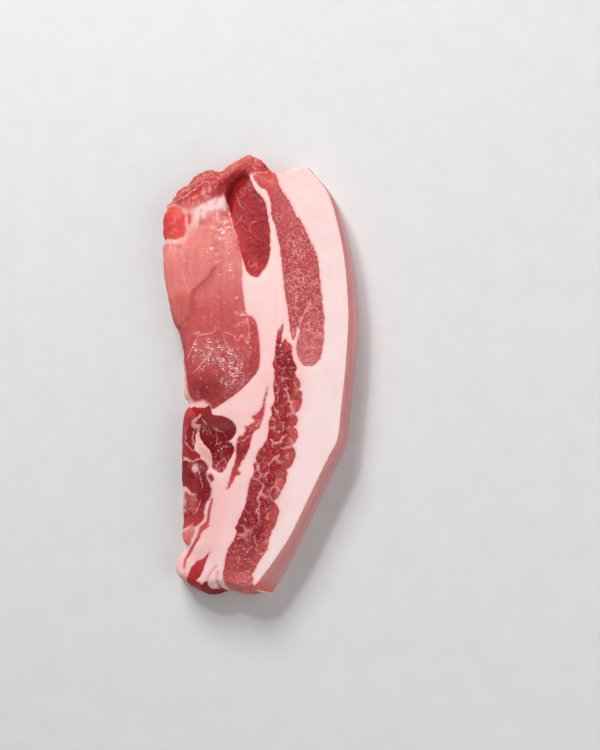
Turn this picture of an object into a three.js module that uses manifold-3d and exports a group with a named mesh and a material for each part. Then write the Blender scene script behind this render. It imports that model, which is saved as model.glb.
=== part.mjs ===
// A raw pork ribeye slice with its back fat and rind, lying flat on its lower cut face.
// Millimetres, +Z up. +Y runs along the slice to its loin end, +X points out of the rind.
// The outlines are drawn as the slice lies, and its box is then set over the origin.
//
// The slice is one piece of flesh, so it is one solid. Its four edges are smooth curves, and a patch
// stretched between them carries the cut face. Muscles swell out of that face and are parted by creases.

import * as THREE from "three";
import { mergeVertices } from "three/addons/utils/BufferGeometryUtils.js";
import Module from "manifold-3d";

// Thickness of the slice: firm fat stands at its full cut height, soft lean sags
const FAT_THICKNESS = 20;
const LEAN_THICKNESS = 16.5;
const SAG_STARTS = 0.55; // share of the width, counted from the lean edge

// Corners of the cut face
const BELLY_LEAN = [-39.5, -96];
const BELLY_RIND = [1, -106.5];
const LOIN_LEAN = [-45, 87.5];
const LOIN_RIND = [26, 94.5];

// Edges of the slice between those corners
const RIND_EDGE = [[10, -95.5], [19, -82], [27.5, -65], [36.5, -47], [41, -38], [42.7, -24], [45, -3],
  [46.4, 22], [44.7, 47], [42, 62], [39.2, 73.5], [34.7, 84]];
const LEAN_EDGE = [[-36, -76], [-37, -40], [-36, -4], [-38.5, 17], [-42.5, 27], [-46, 45], [-48, 70]];
const BELLY_END = [[-34.5, -101.5], [-25, -105], [-15, -104], [-6, -107]];
const LOIN_END = [[-42, 91.5], [-37.5, 95], [-32.5, 99], [-28, 101.2], [-22, 99.8], [-17, 102.3],
  [-8.5, 107], [-2.5, 105], [2, 101], [6.5, 95], [10.5, 92.8], [18, 93.7]];

// Notches where two muscles part at the lean edge: place along the slice, depth and half width
const LEAN_NOTCHES = [
  { y: -85.5, depth: 3.5, half: 3.2 },
  { y: -17.5, depth: 3.2, half: 2.8 },
  { y: 63.5, depth: 1.8, half: 2.6 },
];

// How the edges are rounded, and how far the foot of a wall reaches past its top
const LEAN_ROUND = 5;
const BELLY_ROUND = 2.2;
const LEAN_BULGE = 0.8;
const RIND_BULGE = 0.4;
const RIND_FOOT = { reach: 4.5, share: 0.16 }; // only near the belly end
const BELLY_FOOT = { reach: 2.4, middle: 0.46, half: 0.2 };

// The loin end of the lean is torn: the face runs down it to a thin lip
const APRON_RUN = 14;
const APRON_LIP = 3.5;
const APRON_FADES = [0.56, 0.78]; // share of the width where it gives way to the squarely cut fat
const TORN_RIPPLE = { height: 0.9, pitch: 9 };

// Muscles and bone that show at the cut: outline, swell above the face, and depth of the crease round it
const MUSCLES = {
  eye: {
    swell: 0.8, crease: 0.5,
    outline: [[-24, 74], [-16, 75], [-9, 62], [-5.5, 46], [-4, 28], [1, 20.5], [3.5, 4], [-2, -9],
      [-19.5, -21], [-24, -17], [-32, -15], [-35.5, 0], [-39, 14], [-44, 30], [-47, 56], [-34, 63]],
  },
  cap: {
    swell: -0.5, crease: 0.4,
    outline: [[-3, 91], [-9.5, 87], [-12, 75], [-9, 60], [-4.5, 48], [1.5, 41.5], [6.5, 49], [7.5, 60],
      [5.5, 77], [0.5, 86]],
  },
  upper_streak: {
    swell: 0.3, crease: 0.3,
    outline: [[1, 92], [6.5, 83.5], [8.5, 74], [12, 58], [15.5, 33.5], [18, 14], [21.5, 3], [28, -3],
      [33.5, 5], [33.5, 27.5], [31, 51], [23.5, 67.5], [15.5, 81.5], [9.5, 93]],
  },
  lower_streak: {
    swell: 0.5, crease: 0.4,
    outline: [[14.5, 21], [11, 2], [10.5, -21], [2.5, -46.5], [-3.5, -68], [-11.5, -90], [-13, -106],
      [-1.5, -108], [1, -101], [10, -80], [14.5, -62], [20.5, -40], [22.5, -18], [20.5, -2], [16, 10]],
  },
  rib_cluster: {
    swell: 0.7, crease: 0.7,
    outline: [[-35.5, -19], [-22, -21], [-13, -25], [-8.5, -32], [-12.5, -37], [-10, -41], [-15, -51],
      [-23, -45.5], [-35.5, -44]],
  },
  flank_strip: {
    swell: 0.5, crease: 0.6,
    outline: [[-35.5, -46], [-24, -46.5], [-20, -58], [-22, -74], [-29, -83], [-34.5, -76]],
  },
  sliver: {
    swell: 0.2, crease: 0.3,
    outline: [[7.5, -11], [4, -22], [-3, -31], [-8, -37], [-8.5, -46], [-12.5, -60], [-4, -45], [3, -31]],
  },
  belly_lean: {
    swell: -0.5, crease: 0.5,
    outline: [[-21, -89], [-29.5, -95.5], [-32, -102.5], [-25, -105.5], [-24, -98]],
  },
  bone_end: {
    swell: 0.9, crease: 0.8,
    outline: [[-40, 80.5], [-35.5, 76], [-35, 67.5], [-38, 63], [-44.5, 64], [-45.5, 72]],
  },
};
const SWELL_RUN = 7; // distance over which a muscle reaches its full swell
const CREASE_HALF = 2.2;

// The cleft between the bone end and the cap muscle, open at the loin end
const CLEFT = { path: [[-6, 91.5], [-10, 87.5], [-12.2, 82], [-13, 75]], depth: 3.2, half: 2.2 };

// Mesh steps across, along and down the slice
const STEPS_ACROSS = 42;
const STEPS_ALONG = 88;
const STEPS_DOWN = 4;
const UNDER_BOARD = 2; // the rough body reaches this far below the board, and is then cut flat

const COLOUR = "#d98c8c";
const OUTLINE_STEPS = 72;

const { clamp, lerp, smoothstep } = THREE.MathUtils;

const flat = ([x, y]) => new THREE.Vector2(x, y);
const between = (a, b, share) => new THREE.Vector2().lerpVectors(a, b, share);

const edges = {
  rind: new THREE.SplineCurve([BELLY_RIND, ...RIND_EDGE, LOIN_RIND].map(flat)),
  lean: new THREE.SplineCurve([BELLY_LEAN, ...LEAN_EDGE, LOIN_LEAN].map(flat)),
  belly: new THREE.SplineCurve([BELLY_LEAN, ...BELLY_END, BELLY_RIND].map(flat)),
  loin: new THREE.SplineCurve([LOIN_LEAN, ...LOIN_END, LOIN_RIND].map(flat)),
};

// The lean edge, drawn in at each notch
function leanEdgeAt(v) {
  const point = edges.lean.getPointAt(v);
  for (const { y, depth, half } of LEAN_NOTCHES) {
    point.x += depth * Math.exp(-(((point.y - y) / half) ** 2));
  }
  return point;
}

// A Coons patch between the four edges: u runs from the lean edge to the rind, v from belly to loin
function patch(u, v) {
  const belly = edges.belly.getPointAt(u);
  const loin = edges.loin.getPointAt(u);
  const lean = leanEdgeAt(v);
  const rind = edges.rind.getPointAt(v);
  const bellyCorners = between(flat(BELLY_LEAN), flat(BELLY_RIND), u);
  const loinCorners = between(flat(LOIN_LEAN), flat(LOIN_RIND), u);
  const point = between(belly, loin, v)
    .add(between(lean, rind, u))
    .sub(between(bellyCorners, loinCorners, v));
  return { x: point.x, y: point.y, width: lean.distanceTo(rind), length: belly.distanceTo(loin) };
}

function closedOutline(points) {
  const curve = new THREE.CatmullRomCurve3(points.map(([x, y]) => new THREE.Vector3(x, y, 0)), true);
  return curve.getPoints(OUTLINE_STEPS).map((p) => [p.x, p.y]);
}

function distanceToSegment(x, y, [ax, ay], [bx, by]) {
  const dx = bx - ax;
  const dy = by - ay;
  const t = clamp(((x - ax) * dx + (y - ay) * dy) / (dx * dx + dy * dy), 0, 1);
  return Math.hypot(x - ax - t * dx, y - ay - t * dy);
}

function distanceToPath(x, y, path) {
  let nearest = Infinity;
  for (let i = 1; i < path.length; i++) {
    nearest = Math.min(nearest, distanceToSegment(x, y, path[i - 1], path[i]));
  }
  return nearest;
}

// How far a point lies inside an outline, negative outside it
function depthInside(x, y, outline) {
  let inside = false;
  for (let i = 1; i < outline.length; i++) {
    const [ax, ay] = outline[i - 1];
    const [bx, by] = outline[i];
    if (ay > y !== by > y && x < ax + ((y - ay) / (by - ay)) * (bx - ax)) inside = !inside;
  }
  const distance = distanceToPath(x, y, outline);
  return inside ? distance : -distance;
}

const muscles = Object.values(MUSCLES).map((m) => ({ ...m, outline: closedOutline(m.outline) }));

// Swells, creases and the cleft of the cut face at a point
function relief(x, y) {
  let height = 0;
  let crease = 0;
  for (const { outline, swell, crease: deep } of muscles) {
    const inside = depthInside(x, y, outline);
    height += swell * smoothstep(inside, 0, SWELL_RUN);
    crease = Math.max(crease, deep * Math.exp(-((inside / CREASE_HALF) ** 2)));
  }
  const cleft = CLEFT.depth * Math.exp(-((distanceToPath(x, y, CLEFT.path) / CLEFT.half) ** 2));
  return height - crease - cleft;
}

// Drop of a quarter-round edge of the given radius, at a distance in from that edge
function roundedDrop(distance, radius) {
  const t = clamp(1 - distance / radius, 0, 1);
  return radius * (1 - Math.sqrt(1 - t * t));
}

// Height of the upper cut face above the board
function faceHeight(u, v) {
  const { x, y, width, length } = patch(u, v);
  const cut = lerp(LEAN_THICKNESS, FAT_THICKNESS, smoothstep(u, 0, SAG_STARTS));
  const rounded = roundedDrop(u * width, LEAN_ROUND) + roundedDrop(v * length, BELLY_ROUND);
  const height = cut + relief(x, y) - rounded;
  const torn = 1 - smoothstep(u, ...APRON_FADES);
  const run = smoothstep((1 - v) * length, 0, APRON_RUN);
  const ripple = TORN_RIPPLE.height * Math.sin((2 * Math.PI * x) / TORN_RIPPLE.pitch) * (1 - run);
  return lerp(height, lerp(APRON_LIP, height, run) + ripple, torn);
}

// How far the walls stand out past the edges of the face, at a share of their height from the board up
function wallReach(u, v, share) {
  const bulge = Math.sin(Math.PI * share);
  const foot = 1 - share;
  const rindFoot = RIND_FOOT.reach * (1 - smoothstep(v, 0, RIND_FOOT.share));
  const bellyFoot = BELLY_FOOT.reach * Math.exp(-(((u - BELLY_FOOT.middle) / BELLY_FOOT.half) ** 2));
  const reach = new THREE.Vector2();
  if (u === 0) reach.x = -bulge * LEAN_BULGE;
  if (u === 1) reach.x = bulge * RIND_BULGE + foot * rindFoot;
  if (v === 0) reach.y = -bulge * LEAN_BULGE - foot * bellyFoot;
  if (v === 1) reach.y = bulge * LEAN_BULGE;
  return reach;
}

// A unit box with its faces split into steps, warped into the slice before its foot is cut
function roughSlice() {
  const box = new THREE.BoxGeometry(1, 1, 1, STEPS_ACROSS, STEPS_ALONG, STEPS_DOWN);
  box.translate(0.5, 0.5, 0.5);
  const position = box.getAttribute("position");
  for (let i = 0; i < position.count; i++) {
    const u = position.getX(i);
    const v = position.getY(i);
    const share = position.getZ(i);
    const { x, y } = patch(u, v);
    const reach = wallReach(u, v, share);
    position.setXYZ(i, x + reach.x, y + reach.y, lerp(-UNDER_BOARD, faceHeight(u, v), share));
  }
  return box;
}

const wasm = await Module();
wasm.setup();

function toSolid(geometry) {
  const bare = new THREE.BufferGeometry();
  bare.setAttribute("position", geometry.getAttribute("position"));
  bare.setIndex(geometry.getIndex());
  const merged = mergeVertices(bare, 1e-4);
  return new wasm.Manifold(new wasm.Mesh({
    numProp: 3,
    vertProperties: new Float32Array(merged.getAttribute("position").array),
    triVerts: new Uint32Array(merged.getIndex().array),
  }));
}

function toGeometry(solid) {
  const mesh = solid.getMesh();
  const geometry = new THREE.BufferGeometry();
  geometry.setAttribute("position", new THREE.BufferAttribute(mesh.vertProperties, mesh.numProp));
  geometry.setIndex(new THREE.BufferAttribute(mesh.triVerts, 1));
  geometry.computeVertexNormals();
  return geometry;
}

// The rough body keeps only what lies above the board
const ROOM = 300;
const aboveBoard = new THREE.BoxGeometry(ROOM, ROOM, ROOM).translate(0, 0, ROOM / 2);
const slice = toGeometry(toSolid(roughSlice()).intersect(toSolid(aboveBoard)));

// Its box is set over the origin
slice.computeBoundingBox();
const middle = slice.boundingBox.getCenter(new THREE.Vector3());
slice.translate(-middle.x, -middle.y, 0);

const flesh = new THREE.MeshStandardMaterial({ color: COLOUR, roughness: 0.35, metalness: 0 });
const mesh = new THREE.Mesh(slice, flesh);
mesh.name = "pork_ribeye";

const part = new THREE.Group();
part.add(mesh);

export default part;
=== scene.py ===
import math

import bmesh
import bpy
import numpy as np
from mathutils import Matrix, Vector, noise


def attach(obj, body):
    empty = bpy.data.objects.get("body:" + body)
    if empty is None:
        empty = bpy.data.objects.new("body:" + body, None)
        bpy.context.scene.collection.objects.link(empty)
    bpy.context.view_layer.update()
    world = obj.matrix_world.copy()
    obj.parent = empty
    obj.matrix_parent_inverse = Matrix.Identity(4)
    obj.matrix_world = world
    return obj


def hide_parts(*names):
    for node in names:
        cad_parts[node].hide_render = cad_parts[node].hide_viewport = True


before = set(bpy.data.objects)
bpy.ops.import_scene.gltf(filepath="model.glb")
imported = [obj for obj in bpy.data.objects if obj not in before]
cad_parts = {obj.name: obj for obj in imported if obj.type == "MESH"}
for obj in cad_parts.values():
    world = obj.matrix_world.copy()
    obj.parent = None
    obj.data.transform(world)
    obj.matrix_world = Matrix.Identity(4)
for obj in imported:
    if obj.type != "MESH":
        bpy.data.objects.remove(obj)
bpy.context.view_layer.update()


# The slice is cut straight across a side of pork: an eye of lean, streaks of lean in white fat, and rind.
# All of it is grown together, so it is one closed skin, remade from the solid at a step fine enough to
# carry the grain of the flesh. Its lower face lies flat on the board and needs only a coarser skin.
MM = 0.001
SKIN_STEP = 0.6 * MM
SMOOTHING = 8 * (0.5, -0.52)  # each pass inwards is followed by one outwards, so that nothing shrinks
FACE_SMOOTHINGS = 24
FLAT_UNDER = 0.25 * MM

solid = bmesh.new()
solid.from_mesh(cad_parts["pork_ribeye"].data)
bmesh.ops.remove_doubles(solid, verts=solid.verts, dist=0.001 * MM)
rough = bpy.data.meshes.new("slice_rough")
solid.to_mesh(rough)
solid.free()

pork = bpy.data.objects.new("pork_slice", rough)
bpy.context.scene.collection.objects.link(pork)
skin = pork.modifiers.new("skin", "REMESH")
skin.mode = "VOXEL"
skin.voxel_size = SKIN_STEP
fine = bpy.data.meshes.new_from_object(pork.evaluated_get(bpy.context.evaluated_depsgraph_get()))
pork.modifiers.clear()
pork.data = fine


def read(values, name, width, kind=np.float32):
    """A number or a vector of each point or edge of the skin, as an array."""
    flat = np.empty(len(values) * width, kind)
    values.foreach_get(name, flat)
    return flat.reshape(-1, width)


def lay(places):
    """Moves the points of the skin to their places."""
    fine.vertices.foreach_set("co", places.astype(np.float32).ravel())
    fine.update()


def rise(values, low, high):
    """A smooth step from 0 at low to 1 at high."""
    share = np.clip((values - low) / (high - low), 0, 1)
    return share * share * (3 - 2 * share)


ends = read(fine.edges, "vertices", 2, np.int32)
starts, stops = np.vstack([ends, ends[:, ::-1]]).T
neighbours = np.bincount(starts)


def relaxed(values):
    """The mean over each point's neighbours on the skin."""
    return np.stack([np.bincount(starts, channel[stops]) / neighbours for channel in values.T], axis=1)


places = read(fine.vertices, "co", 3).astype(float)
for share in SMOOTHING:
    places += share * (relaxed(places) - places)
lay(places)
facing_up = rise(read(fine.vertices, "normal", 3)[:, 2], 0.75, 0.95)
for _ in range(FACE_SMOOTHINGS):
    places[:, 2] += 0.5 * facing_up * (relaxed(places[:, 2:])[:, 0] - places[:, 2])
lay(places)

body = bmesh.new()
body.from_mesh(fine)
under = [vert for vert in body.verts if vert.co.z < FLAT_UNDER and vert.normal.z < -0.99]
bmesh.ops.unsubdivide(body, verts=under, iterations=2)
body.normal_update()
body.to_mesh(fine)
body.free()

DRAWN_FROM = np.array([0.99, 0.04, 0.0])  # where the drawing of the slice starts, from the middle of its box
points = read(fine.vertices, "co", 3).astype(float) / MM
outward = read(fine.vertices, "normal", 3).astype(float)
drawn = points - DRAWN_FROM
spots = drawn[:, :2]
across, along, height = drawn.T


# Fat is the ground of the cut: firm and nearly white under the rind, softer and pinker between the muscles.
# Faint streaks run down it. The muscles below are laid into it, and a pink glow is painted round them.
INNER_FAT = [(95, (252, 211, 208)), (45, (253, 214, 211)), (-10, (249, 203, 200)), (-60, (247, 205, 204)),
             (-105, (250, 209, 209))]
BACK_FAT = [(95, (242, 208, 206)), (20, (246, 219, 217)), (-60, (249, 222, 221)), (-105, (248, 221, 221))]
BACK_STARTS = [(-105, -1), (-68, 12), (-30, 21), (0, 25), (50, 28), (92, 12)]
FAR = 9.0  # in mm, as far as a distance from an edge or a line is measured


def between(stops):
    """A value along the slice, from (place in mm, value) stops."""
    return np.interp(along, *zip(*sorted(stops)))


def paint_of(red, green, blue):
    """A colour as a shader takes it, from the values of a screen."""
    shown = np.array([red, green, blue]) / 255
    return np.where(shown <= 0.04045, shown / 12.92, ((shown + 0.055) / 1.055) ** 2.4)


def paint_along(stops):
    """A colour for each point of the skin, blended along the slice between (place in mm, colour) stops."""
    places, colours = zip(*sorted(stops))
    channels = np.array([paint_of(*colour) for colour in colours]).T
    return np.stack([np.interp(along, places, channel) for channel in channels], axis=1)


def shade(tint, share):
    """Makes a tint of the flesh lighter or darker by a share of itself."""
    tint *= (1 + share)[:, None]


def wash(tint, share, paint):
    """Washes a share of another paint over a tint of the flesh."""
    tint += share[:, None] * (paint - tint)


def stain(tint, share, colour):
    """Stains a tint of the flesh with one colour, in the values of a screen."""
    wash(tint, share, paint_of(*colour))


from_back = across - between(BACK_STARTS)
bent = np.column_stack([from_back, along, height])  # the slice drawn straight, for streaks that run down it


def ripple(size, seed=0.0, where=drawn):
    """Smooth unevenness from about -1 to 1 over the slice, with bumps of one size in mm, or of three."""
    return np.array([noise.noise(place) for place in (where / np.array(size) + seed).tolist()])


fat_tint = paint_along(INNER_FAT)
wash(fat_tint, rise(from_back, -1, 6), paint_along(BACK_FAT))
streaked_fat = ripple((1.8, 26.0, 26.0), 15.0, bent)
shade(fat_tint, 0.03 * ripple(9.0, 5.0) + 0.03 * streaked_fat)
stain(fat_tint, 0.35 * rise(streaked_fat, 0.15, 0.6) * rise(-from_back, 2, 8), (246, 184, 182))

lean = np.full(len(spots), -FAR)  # how deep a point lies in the lean, in mm
veins = np.zeros(len(spots))  # 1 in the middle of a vein or membrane of fat
lean_tint = np.tile(paint_of(180, 70, 74), (len(spots), 1))
marbled = np.zeros(len(spots))
wet = np.zeros(len(spots))
soft = np.full(len(spots), 0.4)
relief = np.zeros(len(spots))


# The eye is the round loin muscle, pale above and redder below, with a fold of it lying over its lean side.
# Fibres run along it, moisture stands on its crown, and membranes of fat cross its lower half and rim it.
EYE = [(-25, 73.5), (-20.5, 75.5), (-17, 75.5), (-13.5, 74.5), (-11, 70), (-8.5, 62), (-6.5, 56), (-5.5, 48),
       (-5.5, 38), (-4, 27.5), (-3, 24), (-0.5, 22.5), (1.5, 19.5), (3, 12), (3.5, 3), (2.5, -3.5), (-2, -9),
       (-8.5, -14.5), (-14.5, -18), (-20, -21), (-22, -18.5), (-27, -17), (-30.5, -17), (-33, -13),
       (-35.2, 0), (-41, 10), (-52, 30), (-52, 61), (-44.5, 62.5), (-35.5, 62), (-32, 64.5), (-27.5, 72)]
EYE_TINTS = [(76, (214, 114, 106)), (70, (222, 122, 114)), (63, (236, 143, 136)), (45, (231, 131, 126)),
             (26, (209, 96, 93)), (8, (198, 84, 84)), (-16, (180, 66, 68))]
EYE_FOLD_EDGE = [(-20, 47), (-21.5, 44.5), (-23.5, 42), (-27, 39), (-31, 35), (-31.5, 30), (-32, 25),
                 (-35, 21.5), (-37, 19)]
EYE_FOLD = [(-52, 19), (-52, 66), (-12, 66), (-16, 52), *EYE_FOLD_EDGE]
EYE_FOLD_TINTS = [(60, (238, 141, 133)), (36, (233, 128, 121)), (20, (205, 101, 95))]
EYE_FOLD_DULL = [(-38.5, 35), (-32, 34.5), (-32, 26.5), (-36.5, 24), (-39, 30.5)]
EYE_TAIL = [(-3, 24.5), (1.5, 21), (5, 5), (3, -7), (-8, -16), (-3, -6), (-1, 5), (-2.3, 17)]
EYE_RIM = [(-37.5, 8), (-36.2, 0), (-35.2, -7), (-34.2, -12.3), (-32.4, -16), (-29.5, -18.6), (-26, -19.6)]
EYE_FOOT = [(-30.5, -18), (-28.5, -17.3), (-26.3, -16.6), (-23.8, -17.2), (-22.3, -18.8), (-21, -20.6),
            (-23.5, -20.2), (-28, -20)]
EYE_SHOULDER = [(-13.5, 71), (-11.8, 65.5), (-9.3, 58.5)]
EYE_CROWN = [(-12.5, 70.5), (-16, 66), (-17.5, 61), (-18.8, 55), (-18, 50), (-17.4, 44), (-16.8, 37),
             (-17.5, 26)]
EYE_BEADS = [(-14, 70, 1.2), (-12.7, 67.2, 1.2), (-15.8, 65.4, 2.5), (-17.2, 62, 2.5), (-20.5, 57, 1.7),
             (-18.4, 54, 1.4), (-17.6, 50.4, 2.0), (-21.4, 46.7, 1.2), (-17.4, 44, 1.8), (-16.8, 40, 1.4),
             (-17.3, 33.2, 1.6), (-15.7, 25.3, 1.4)]  # middle and half width
BEAD_TILT = 0.15  # a bead of moisture stands highest away from the loin end
EYE_BELLY = [(-22.5, 8), (-18.5, 4.5), (-14.5, 2), (-10.5, -2.5), (-9, -6.5), (-8, -10)]
EYE_TOP_RAGGED = 1.8
FOLD_STANDS = 0.5
FOLD_GROOVE = 0.45
FIBRES_STAND = 0.04
CROWN_STANDS = 0.2
BUNDLES_STAND = 0.12
SIDE_WAVES = 0.55  # how far the lean side wanders in and out
EDGE_RAGGED = 0.42  # how far a muscle's edge wanders
VEIN_WANDER = 0.7  # how far a vein strays from the line drawn for it
VEIN_SPREAD = 1.3

ragged = EDGE_RAGGED * (ripple(1.9) + 0.6 * ripple(0.9, 47.0))
strayed = spots + VEIN_WANDER * np.stack([ripple(1.4, 101.0), ripple(1.4, 107.0)], axis=1)
slanted = np.column_stack([across + 0.7 * along, along - 0.7 * across, height])


def smooth_curve(knots, closed, steps=5):
    """A smooth curve through a few points, as many short straight runs."""
    knots = np.array(knots, float)
    if closed:
        before, start, end, after = (np.roll(knots, -turn, axis=0) for turn in (-1, 0, 1, 2))
    else:
        padded = np.vstack([2 * knots[0] - knots[1], knots, 2 * knots[-1] - knots[-2]])
        before, start, end, after = padded[:-3], padded[1:-2], padded[2:-1], padded[3:]
    a, b, c, d = (knot[:, None, :] for knot in (before, start, end, after))
    t = np.linspace(0, 1, steps, endpoint=False)[None, :, None]
    curve = b + 0.5 * t * (c - a + t * (2 * a - 5 * b + 4 * c - d + t * (3 * b - a - 3 * c + d)))
    return np.vstack([curve.reshape(-1, 2), knots[:1] if closed else knots[-1:]])


def line_distance(knots, closed=False, where=spots):
    """How far each point of the skin lies from a smooth curve, and where along it, from 0 to 1."""
    line = smooth_curve(knots, closed)
    framed = (where > line.min(axis=0) - FAR) & (where < line.max(axis=0) + FAR)
    close = np.flatnonzero(framed.all(axis=1))
    nearest = np.full(len(close), FAR)
    passed = np.zeros(len(close))
    lengths = np.linalg.norm(np.diff(line, axis=0), axis=1)
    done = 0.0
    for start, end, length in zip(line[:-1], line[1:], lengths):
        run = end - start
        share = np.clip((where[close] - start) @ run / max(length * length, 1e-9), 0, 1)
        distance = np.linalg.norm(where[close] - start - share[:, None] * run, axis=1)
        closer = distance < nearest
        nearest[closer] = distance[closer]
        passed[closer] = (done + share[closer] * length) / lengths.sum()
        done += length
    distances = np.full(len(spots), FAR)
    distances[close] = nearest
    shares = np.zeros(len(spots))
    shares[close] = passed
    return distances, shares


def depth_inside(outline):
    """How deep each point of the skin lies inside a closed outline, negative outside it."""
    curve = smooth_curve(outline, closed=True)
    within = np.zeros(len(spots), bool)
    for (ax, ay), (bx, by) in zip(curve[:-1], curve[1:]):
        if ay != by:
            crosses = (ay > along) != (by > along)
            within ^= crosses & (across < ax + (along - ay) / (by - ay) * (bx - ax))
    distance, _ = line_distance(outline, closed=True)
    return np.where(within, distance, -distance)


def bell(distance, half):
    """A soft bump, 1 at no distance and fading over about the half width."""
    return np.exp(-((distance / half) ** 2))


def muscle(outline, tints, fleck, wetness, softness=0.4, fray=1.0):
    """Lays a muscle into the flesh, wherever it lies deeper than what is there, and gives its depth."""
    depth = depth_inside(outline) + fray * ragged
    taken = depth > lean
    lean[taken] = depth[taken]
    lean_tint[taken] = paint_along(tints)[taken]
    marbled[taken] = np.broadcast_to(fleck, len(spots))[taken]
    wet[taken] = np.broadcast_to(wetness, len(spots))[taken]
    soft[taken] = softness
    return depth


def island(outline):
    """Lays fat into the lean."""
    np.minimum(lean, -depth_inside(outline) - ragged, out=lean)


def seam(half, knots):
    """Lays a band of fat into the lean."""
    distance, _ = line_distance(knots)
    np.minimum(lean, distance - half + 0.5 * ragged, out=lean)


def vein(half, knots, strength=0.8):
    """Runs a vein or membrane of fat through the lean, tapering to its ends."""
    distance, share = line_distance(knots, where=strayed)
    spread = VEIN_SPREAD * half * (0.5 + 2 * share * (1 - share))
    np.maximum(veins, strength * bell(distance, spread), out=veins)


def inside(outline, blur):
    """1 inside an outline and 0 outside it, blurred over so many mm at its edge."""
    return rise(depth_inside(outline), -blur, blur)


def near(half, knots):
    """1 on a line, fading over about the half width."""
    distance, _ = line_distance(knots)
    return bell(distance, half)


eye = muscle(EYE, EYE_TINTS, fleck=0.15, wetness=0.3, fray=0.4)
in_eye = rise(eye, -0.5, 1.5)
eye_top = rise(along, 58, 67) * rise(eye, -6, -3) * rise(-across, 13, 16)
lean += EYE_TOP_RAGGED * eye_top * bell(eye, 3.5) * ripple((1.7, 4.0, 4.0), 149.0)
soft += 1.6 * eye_top
fold = depth_inside(EYE_FOLD)
in_fold = in_eye * rise(fold, -0.8, 1.6) * rise(-across, 15, 27)
# Painted shadow: the lean just outside the fold's edge is painted darker, where the fold casts its shade.
stain(lean_tint, 0.55 * in_eye * (fold < 0) * near(3.5, EYE_FOLD_EDGE), (190, 74, 72))
wash(lean_tint, in_fold, paint_along(EYE_FOLD_TINTS))
stain(lean_tint, 0.7 * inside(EYE_FOLD_DULL, 2.5), (198, 95, 88))
stain(lean_tint, 0.8 * in_eye * inside(EYE_TAIL, 0.6), (188, 70, 68))
stain(lean_tint, 0.85 * near(6, [(-27, -9), (-20, -11)]), (150, 46, 52))
stain(lean_tint, 0.5 * near(2.5, [(-26, -13), (-23.5, -11)]), (126, 24, 36))
stain(lean_tint, 0.6 * in_eye * near(2.2, EYE_SHOULDER), (236, 152, 146))
eye_fibres = ripple((2.2, 15.0, 15.0), 81.0) + 0.35 * ripple((1.1, 5.0, 5.0), 87.0)
eye_fibres *= in_eye * (1 + 0.4 * rise(along, 45, 60))
shade(lean_tint, 0.11 * eye_fibres)
relief += FOLD_STANDS * in_fold - FOLD_GROOVE * in_eye * near(0.8, EYE_FOLD_EDGE)
relief += FIBRES_STAND * eye_fibres
# Painted shade: a dark line is painted along the fold's edge, in the crease under it.
stain(lean_tint, 0.5 * in_eye * near(0.7, EYE_FOLD_EDGE), (176, 62, 60))
crown = 0.8 * near(2.0, EYE_CROWN) * rise(ripple(4.0, 131.0), -0.4, 0.2)
relief += CROWN_STANDS * in_eye * crown * ripple(1.3, 117.0)
for x, y, half in EYE_BEADS:
    bead = bell(np.hypot(across - x, along - y) ** 2, half * half)
    relief -= BEAD_TILT * (along - y) * bead
    np.maximum(crown, bead, out=crown)
belly = in_eye * rise(near(8.5, EYE_BELLY) + 0.5 * ripple(3.2, 137.0) + 0.35 * ripple(1.5, 139.0), 0.35, 0.9)
bundles = ripple((1.25, 2.2, 2.2), 113.0, slanted) + 0.5 * ripple(0.8, 151.0)
relief += BUNDLES_STAND * belly * bundles
wet += np.maximum(in_eye * crown, belly) * (1 - wet)
# Over the bundles the lean is painted darker where they sink, and paler where they rise and in a fine net
# between them; the pale parts are a painted haze of tiny glints of moisture.
stain(lean_tint, 0.35 * belly * rise(-bundles, 0, 0.4), (156, 44, 52))
stain(lean_tint, 0.28 * belly * rise(bundles, 0.1, 0.5), (230, 152, 154))
stain(lean_tint, 0.45 * belly * bell(bundles, 0.16), (242, 190, 192))
island(EYE_FOOT)
seam(1.2, EYE_RIM)
rimmed = np.maximum(near(3, EYE_RIM), near(2.5, [(-30.5, -18), (-26.3, -16.6), (-22.3, -18.6)]))
soft += 0.9 * rimmed
stain(fat_tint, 0.5 * rimmed, (240, 178, 170))
vein(0.6, [(-33.5, 3.5), (-28.5, 13), (-26.5, 15), (-21.5, 15.5), (-18.5, 17)])
vein(0.55, [(-15, 14.5), (-14, 15.5), (-12, 15), (-9.5, 13.5), (-7.5, 11), (-5.5, 13.5), (-3.5, 10.5),
            (-1, 7.5), (1, 5.5)])
vein(0.5, [(-15, 14.5), (-14.5, 12), (-12.5, 8.5), (-10, 5), (-7, 1.5)], 0.75)
vein(0.5, [(-7.5, 11), (-7, 7), (-5, 3), (-2, 0.5)], 0.7)
vein(0.55, [(-30.5, -3.5), (-27, -0.5), (-23.5, 3.5), (-19.5, 8.5)], 0.8)
vein(0.5, [(-3, 24.5), (-2.5, 20.5), (-2, 17), (-1.5, 10.5)], 0.75)
vein(0.5, [(-36.5, 59), (-36, 54.5), (-35.5, 47), (-35, 43), (-33.5, 38), (-32, 34.5)], 0.65)
lean_side = rise(-outward[:, 0], 0.2, 0.8) * rise(-across, 30, 36)
relief += SIDE_WAVES * lean_side * (ripple(7.0, 61.0) + 0.6 * ripple(3.0, 67.0))


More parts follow.
